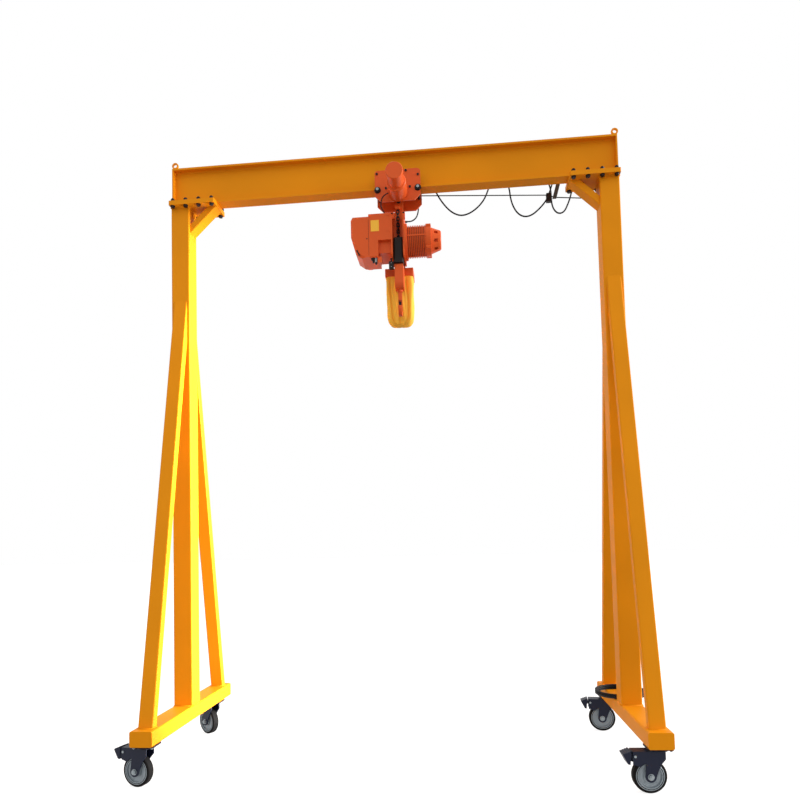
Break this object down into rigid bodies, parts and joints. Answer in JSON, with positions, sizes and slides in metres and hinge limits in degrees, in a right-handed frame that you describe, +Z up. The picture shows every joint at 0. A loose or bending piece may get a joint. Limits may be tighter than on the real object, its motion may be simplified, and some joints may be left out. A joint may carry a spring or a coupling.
{
  "type": "gantry crane",
  "caption": "Portal gantry crane on braked swivel casters: boxed legs with slanting struts carry an I-beam, along which a motor trolley with an electric chain hoist travels.",
  "frame": {"origin": "on the floor, midway between the two legs and midway between their front and rear casters", "axes": "+X along the beam, +Y to the back, +Z up"},
  "size_m": [3.5732, 1.4, 4.475],
  "materials": {
    "frame_paint": "semi-gloss orange-yellow paint",
    "hoist_paint": "semi-gloss orange-red paint",
    "dark_steel": "black paint",
    "caster_steel": "dark navy paint",
    "wheel_metal": "metallic blue-grey",
    "tyre_rubber": "matt black",
    "bright_steel": "zinc plated",
    "bag_fabric": "woven, yellow-orange",
    "cable_rubber": "matt black"
  },
  "bodies": {
    "portal": {"main_beam": "frame_paint", "beam_end_plates": "frame_paint", "beam_seat_plates": "frame_paint", "rail_end_caps": "frame_paint", "leg_head_plates": "frame_paint", "knee_braces": "frame_paint", "left_column": "frame_paint", "left_base_rail": "frame_paint", "left_front_strut": "frame_paint", "left_rear_strut": "frame_paint", "right_column": "frame_paint", "right_base_rail": "frame_paint", "right_front_strut": "frame_paint", "right_rear_strut": "frame_paint", "caster_top_plates": "dark_steel", "messenger_wire": "bright_steel", "wire_brackets": "bright_steel", "cable_clips": "dark_steel", "supply_cable": "cable_rubber", "supply_coil": "cable_rubber", "plug_tail": "cable_rubber", "supply_plug": "cable_rubber"},
    "trolley": {"trolley_front_plate": "hoist_paint", "trolley_rear_plate": "hoist_paint", "trolley_tie_rods": "dark_steel", "trolley_wheels": "bright_steel", "trolley_gearmotor": "hoist_paint", "hoist_hanger": "hoist_paint", "hoist_frame": "hoist_paint", "gear_case": "hoist_paint", "control_cover": "hoist_paint", "hoist_motor": "hoist_paint", "fan_cover": "hoist_paint", "chain_guide": "dark_steel", "load_chain": "dark_steel", "hook_block": "hoist_paint", "chain_bag": "bag_fabric", "bag_frame": "hoist_paint", "trolley_leads": "cable_rubber"},
    "front_left_swivel": {"front_left_fork": "caster_steel"},
    "front_left_roller": {"front_left_wheel": "wheel_metal", "front_left_tyre": "tyre_rubber"},
    "front_left_brake": {"front_left_brake_pedal": "caster_steel"},
    "rear_left_swivel": {"rear_left_fork": "caster_steel"},
    "rear_left_roller": {"rear_left_wheel": "wheel_metal", "rear_left_tyre": "tyre_rubber"},
    "rear_left_brake": {"rear_left_brake_pedal": "caster_steel"},
    "front_right_swivel": {"front_right_fork": "caster_steel"},
    "front_right_roller": {"front_right_wheel": "wheel_metal", "front_right_tyre": "tyre_rubber"},
    "front_right_brake": {"front_right_brake_pedal": "caster_steel"},
    "rear_right_swivel": {"rear_right_fork": "caster_steel"},
    "rear_right_roller": {"rear_right_wheel": "wheel_metal", "rear_right_tyre": "tyre_rubber"},
    "rear_right_brake": {"rear_right_brake_pedal": "caster_steel"},
    "hook_swivel_body": {"hook": "hoist_paint"},
    "latch": {"hook_latch": "dark_steel"}
  },
  "joints": [
    {"name": "trolley_travel", "type": "slide", "parent": "portal", "child": "trolley", "axis": [1, 0, 0], "range_m": [-1.19, 1.05]},
    {"name": "front_left_turn", "type": "hinge", "parent": "portal", "child": "front_left_swivel", "pos_m": [-1.585, -0.625, 0.24], "axis": [0, 0, 1], "continuous": true},
    {"name": "front_left_roll", "type": "hinge", "parent": "front_left_swivel", "child": "front_left_roller", "pos_m": [-1.64346, -0.6115, 0.1], "axis": [-0.225, -0.9744, 0], "continuous": true},
    {"name": "front_left_pedal", "type": "hinge", "parent": "front_left_swivel", "child": "front_left_brake", "pos_m": [-1.72823, -0.59193, 0.2197], "axis": [-0.225, -0.9744, 0], "range_deg": [0, 8]},
    {"name": "rear_left_turn", "type": "hinge", "parent": "portal", "child": "rear_left_swivel", "pos_m": [-1.585, 0.5, 0.24], "axis": [0, 0, 1], "continuous": true},
    {"name": "rear_left_roll", "type": "hinge", "parent": "rear_left_swivel", "child": "rear_left_roller", "pos_m": [-1.63474, 0.53355, 0.1], "axis": [-0.5592, -0.829, 0], "continuous": true},
    {"name": "rear_left_pedal", "type": "hinge", "parent": "rear_left_swivel", "child": "rear_left_brake", "pos_m": [-1.70687, 0.5822, 0.2197], "axis": [-0.5592, -0.829, 0], "range_deg": [0, 8]},
    {"name": "front_right_turn", "type": "hinge", "parent": "portal", "child": "front_right_swivel", "pos_m": [1.585, -0.625, 0.24], "axis": [0, 0, 1], "continuous": true},
    {"name": "front_right_roll", "type": "hinge", "parent": "front_right_swivel", "child": "front_right_roller", "pos_m": [1.52504, -0.62709, 0.1], "axis": [0.0349, -0.9994, 0], "continuous": true},
    {"name": "front_right_pedal", "type": "hinge", "parent": "front_right_swivel", "child": "front_right_brake", "pos_m": [1.43809, -0.63013, 0.2197], "axis": [0.0349, -0.9994, 0], "range_deg": [0, 8]},
    {"name": "rear_right_turn", "type": "hinge", "parent": "portal", "child": "rear_right_swivel", "pos_m": [1.585, 0.625, 0.24], "axis": [0, 0, 1], "continuous": true},
    {"name": "rear_right_roll", "type": "hinge", "parent": "rear_right_swivel", "child": "rear_right_roller", "pos_m": [1.52545, 0.63231, 0.1], "axis": [-0.1219, -0.9925, 0], "continuous": true},
    {"name": "rear_right_pedal", "type": "hinge", "parent": "rear_right_swivel", "child": "rear_right_brake", "pos_m": [1.4391, 0.64292, 0.2197], "axis": [-0.1219, -0.9925, 0], "range_deg": [0, 8]},
    {"name": "hook_swivel", "type": "hinge", "parent": "trolley", "child": "hook_swivel_body", "pos_m": [0.063, 0, 3.373], "axis": [0, 0, 1], "continuous": true},
    {"name": "hook_latch_hinge", "type": "hinge", "parent": "hook_swivel_body", "child": "latch", "pos_m": [0.063, -0.016, 3.287], "axis": [1, 0, 0], "range_deg": [0, 25], "stiffness_Nm_per_rad": 0.5, "springref_deg": -11.46}
  ]
}
